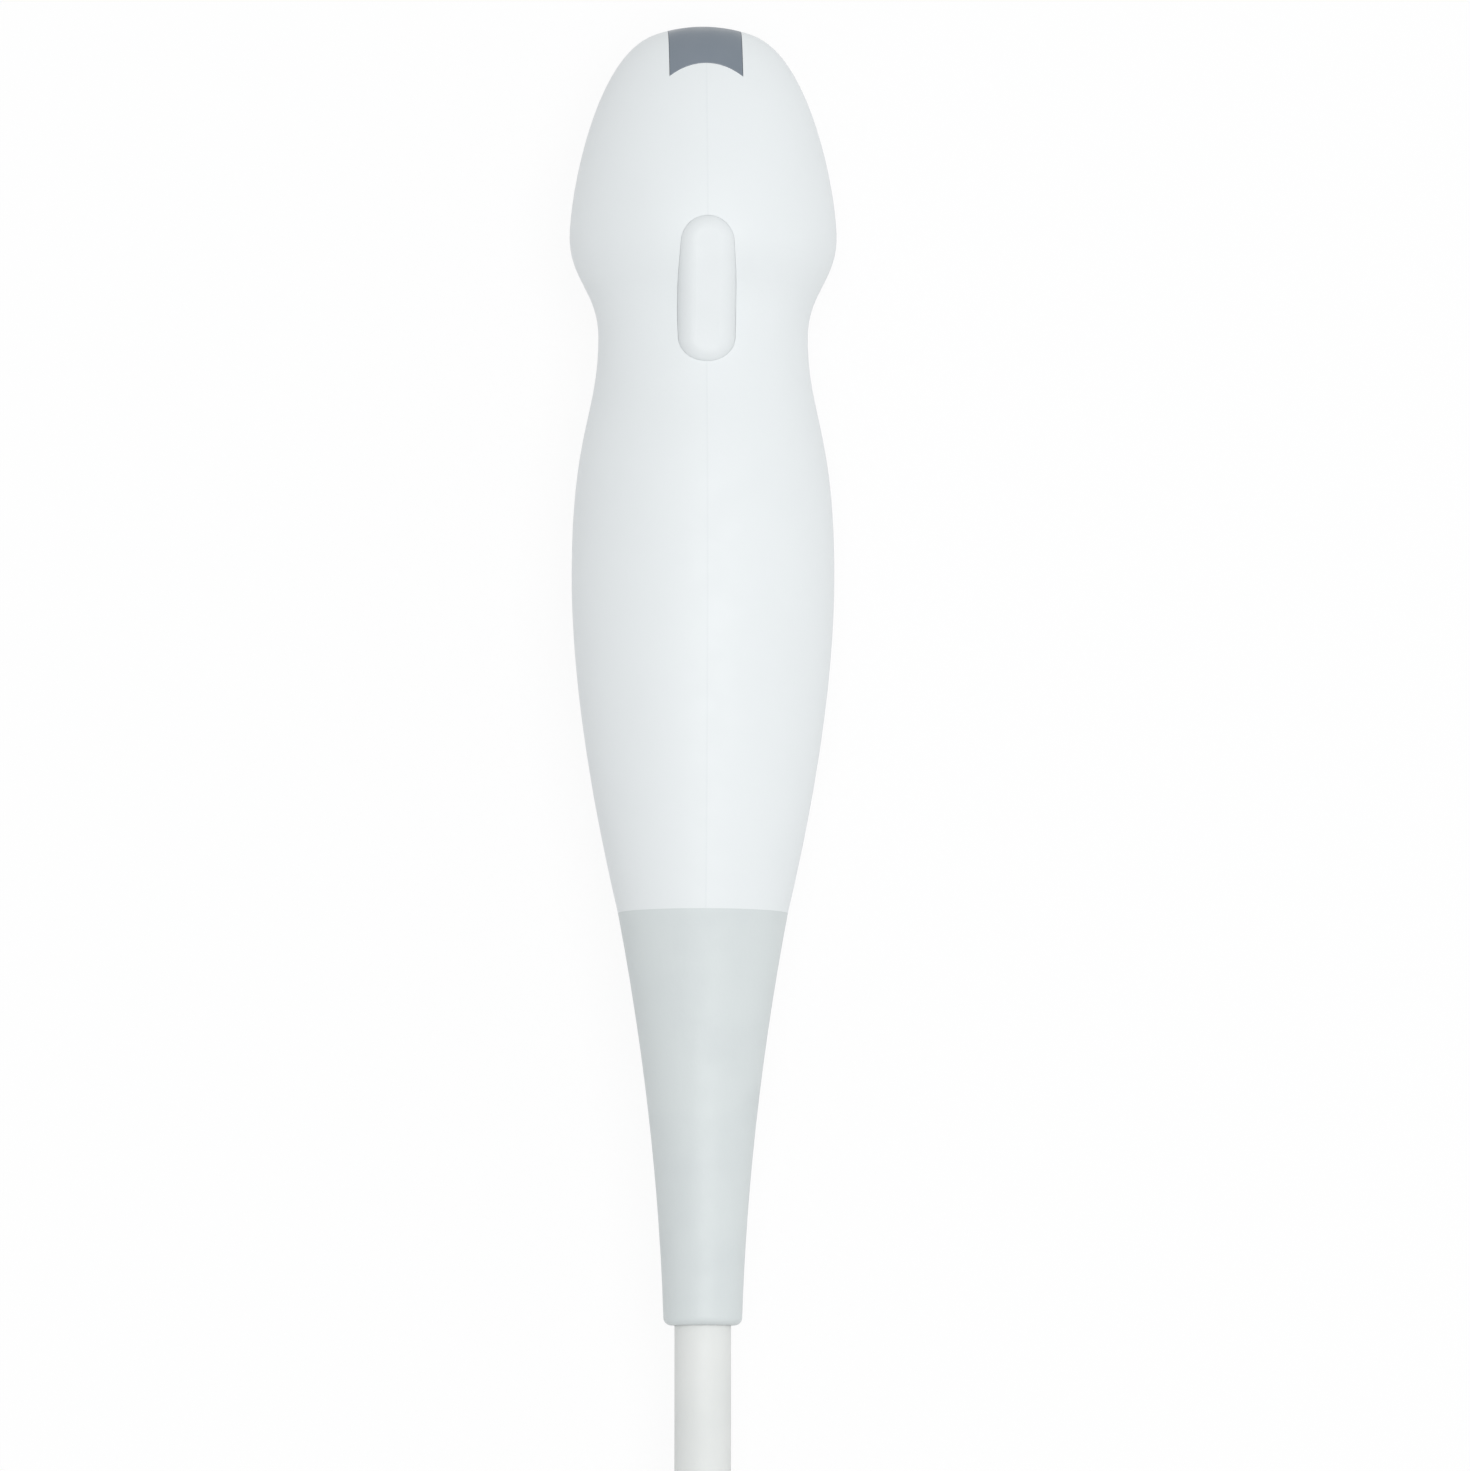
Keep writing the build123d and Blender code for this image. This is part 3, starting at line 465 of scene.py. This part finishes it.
def board_finish():
    """Green solder mask over copper tracks, with tinned pads."""
    finish = Finish("circuit_board", "#1E5B3A", 0.38)
    maze = finish.between(finish.cells(2.2 * mm, (1, 3, 1), "Distance"), 0.30, 0.36)
    finish.tint(maze, "#2F7A50", 0.9)
    pads = finish.between(finish.cells(1.7 * mm), 0.16, 0.12)
    finish.tint(pads, "#C9CCC6", 1.0)
    finish.rough(finish.noise(1.5 * mm), 0.3, 0.46)
    finish.bump(maze, 0.02 * mm)
    finish.bump(pads, 0.03 * mm)
    return finish


def wire_finish():
    """Bundle of fine coaxial wires, side by side, with painted shade in the grooves between them."""
    finish = Finish("coax_wire", "#C7CCD2", 0.45)
    strands = finish.bands(0.55 * mm, "X", 0.6)
    # Painted shade: darker in the grooves between the wires, where the relief is low.
    finish.tint(finish.between(strands, 0.5, 0.1), "#6E7680", 0.8)
    finish.tint(finish.between(finish.cells(1.1 * mm, (1, 0.03, 1)), 0.2, 0.1), "#9FB4C8", 0.8)
    finish.rough(strands, 0.36, 0.52)
    finish.bump(strands, 0.12 * mm)
    return finish


def strap_finish():
    """Woven strap of the cable tie, with painted shade in the hollows of the weave."""
    finish = Finish("tie_strap", "#4A5056", 0.85)
    along = finish.bands(0.9 * mm, "Y")
    twill = finish.bands(1.4 * mm, "DIAGONAL", stretch=(1, 1, 1.8))
    weave = finish.math("MAXIMUM", along, twill)
    # Painted shade: darker where the weave's relief is low.
    finish.tint(finish.between(weave, 0.75, 0.35), "#2E3337", 0.9)
    finish.tint(finish.between(finish.noise(4 * mm, 4), 0.5, 0.75), "#5D646B", 0.5)
    finish.rough(finish.noise(0.6 * mm), 0.78, 0.92)
    finish.bump(weave, 0.12 * mm)
    return finish


finishes = {
    "housing_plastic": housing_finish(),
    # Painted shade: the marker is the housing's plastic, set a few steps darker to stand in for shade on
    # it.
    "shaded_marker_plastic": moulded("shaded_marker_plastic", "#E3E7E8", "#DFE3E4", 0.52, depth=0.006 * mm, clouding=0.3),
    "lens_silicone": moulded("lens_silicone", "#737D87", "#7B848E", 0.36, 0.5 * mm, 0.004 * mm),
    "matching_resin": resin_finish("matching_resin", "#6E6257", "#8A7D70", 0.15 * mm),
    "piezo_ceramic": ceramic_finish(),
    "backing_resin": resin_finish("backing_resin", "#3B3D40", "#6A6D70", 0.3 * mm),
    "frame_plastic": moulded("frame_plastic", "#C9CCC8", "#BDC1BE", 0.5),
    "flex_film": flex_finish(),
    "circuit_board": board_finish(),
    "shield_copper": metal("shield_copper", "#C98A5E", "#A8673F", 0.34),
    "ferrule_metal": metal("ferrule_metal", "#B9B4A6", "#98948A", 0.3),
    "coax_wire": wire_finish(),
    "boot_elastomer": moulded("boot_elastomer", "#D4DADA", "#CDD3D4", 0.5, 0.4 * mm, 0.008 * mm),
    "cable_jacket": moulded("cable_jacket", "#E1E3E1", "#D9DCDA", 0.56, 0.6 * mm, 0.008 * mm),
    "tie_strap": strap_finish(),
    "connector_plastic": moulded("connector_plastic", "#DDE1E2", "#D5DADC", 0.48, 0.5 * mm, 0.02 * mm, 0.3),
    "lever_plastic": moulded("lever_plastic", "#7E8991", "#757F87", 0.44, 0.5 * mm, 0.02 * mm),
    "plug_metal": metal("plug_metal", "#C4C7C9", "#A3A7AA", 0.32, (1, 1, 10)),
    "contact_plastic": moulded("contact_plastic", "#33373B", "#3B4045", 0.5, 0.3 * mm),
    "contact_gold": metal("contact_gold", "#D9B25A", "#B98F3A", 0.24, (1, 1, 6), 0.4 * mm),
    "steel": metal("steel", "#B4B7BA", "#8E9296", 0.3, (6, 1, 1), 0.6 * mm),
}

slot_of_node = {row["node"]: row["material_slot"] for row in frame["record"]["subparts"]}
for name, node in nodes.items():
    # The marker takes the darker copy of the housing plastic, which is painted shade.
    finish_name = "shaded_marker_plastic" if name == "orientation_marker" else slot_of_node[name]
    node.data.materials.clear()
    node.data.materials.append(finishes[finish_name].material)
cable_curve.materials.append(finishes["cable_jacket"].material)
strap_mesh.materials.append(finishes["tie_strap"].material)


# Floor, white where the camera or a reflection sees it, with the object's shadow
def seen_directly(tree):
    """1 for camera, glossy and transmission rays, and 0 for the light that falls on the object."""
    path = tree.nodes.new("ShaderNodeLightPath")
    either = path.outputs["Is Camera Ray"]
    for name in ("Is Glossy Ray", "Is Transmission Ray"):
        larger = tree.nodes.new("ShaderNodeMath")
        larger.operation = "MAXIMUM"
        tree.links.new(either, larger.inputs[0])
        tree.links.new(path.outputs[name], larger.inputs[1])
        either = larger.outputs["Value"]
    return either


def white_floor():
    """Floor material: pale and matt, and nearly white to the camera."""
    material = bpy.data.materials.new("floor_paper")
    material.use_nodes = True
    tree = material.node_tree
    tree.nodes.clear()
    output = tree.nodes.new("ShaderNodeOutputMaterial")
    matt = tree.nodes.new("ShaderNodeBsdfDiffuse")
    matt.inputs["Color"].default_value = (floor_grey, floor_grey, floor_grey, 1)
    white = tree.nodes.new("ShaderNodeEmission")
    white.inputs["Strength"].default_value = 1.0
    mix = tree.nodes.new("ShaderNodeMixShader")
    seen = seen_directly(tree)
    share = tree.nodes.new("ShaderNodeMath")
    share.operation = "MULTIPLY"
    share.inputs[1].default_value = floor_white_share
    tree.links.new(seen, share.inputs[0])
    tree.links.new(share.outputs["Value"], mix.inputs["Fac"])
    tree.links.new(matt.outputs["BSDF"], mix.inputs[1])
    tree.links.new(white.outputs["Emission"], mix.inputs[2])
    tree.links.new(mix.outputs["Shader"], output.inputs["Surface"])
    return material


floor_mesh = bpy.data.meshes.new("floor")
half = floor_size / 2
floor_mesh.from_pydata(
    [(-half, -half, 0), (half, -half, 0), (half, half, 0), (-half, half, 0)], [], [(0, 1, 2, 3)]
)
floor_mesh.materials.append(white_floor())
floor = bpy.data.objects.new("floor", floor_mesh)
scene.collection.objects.link(floor)
floor.location.z = -floor_drop

# Soft studio light
world = bpy.data.worlds.new("studio")
scene.world = world
world.use_nodes = True
sky = world.node_tree.nodes["Background"]
sky.inputs["Color"].default_value = world_colour
level = world.node_tree.nodes.new("ShaderNodeMapRange")
level.inputs["To Min"].default_value = world_strength
level.inputs["To Max"].default_value = 1.0
world.node_tree.links.new(seen_directly(world.node_tree), level.inputs["Value"])
world.node_tree.links.new(level.outputs["Result"], sky.inputs["Strength"])


def lamp(name, place, size, power):
    """Square soft lamp aimed at the handpiece."""
    light = bpy.data.lights.new(name, "AREA")
    light.size = size
    light.energy = power
    lamp_object = bpy.data.objects.new(name, light)
    scene.collection.objects.link(lamp_object)
    lamp_object.location = place
    aim = view_middle - Vector(place)
    lamp_object.rotation_euler = aim.to_track_quat("-Z", "Y").to_euler()


lamp("key_lamp", place=(0.2, 0.0, 2.0), size=1.2, power=18.0)
lamp("right_lamp", place=(1.2, 0.0, 0.7), size=0.8, power=1.0)

scene.view_settings.view_transform = "Standard"
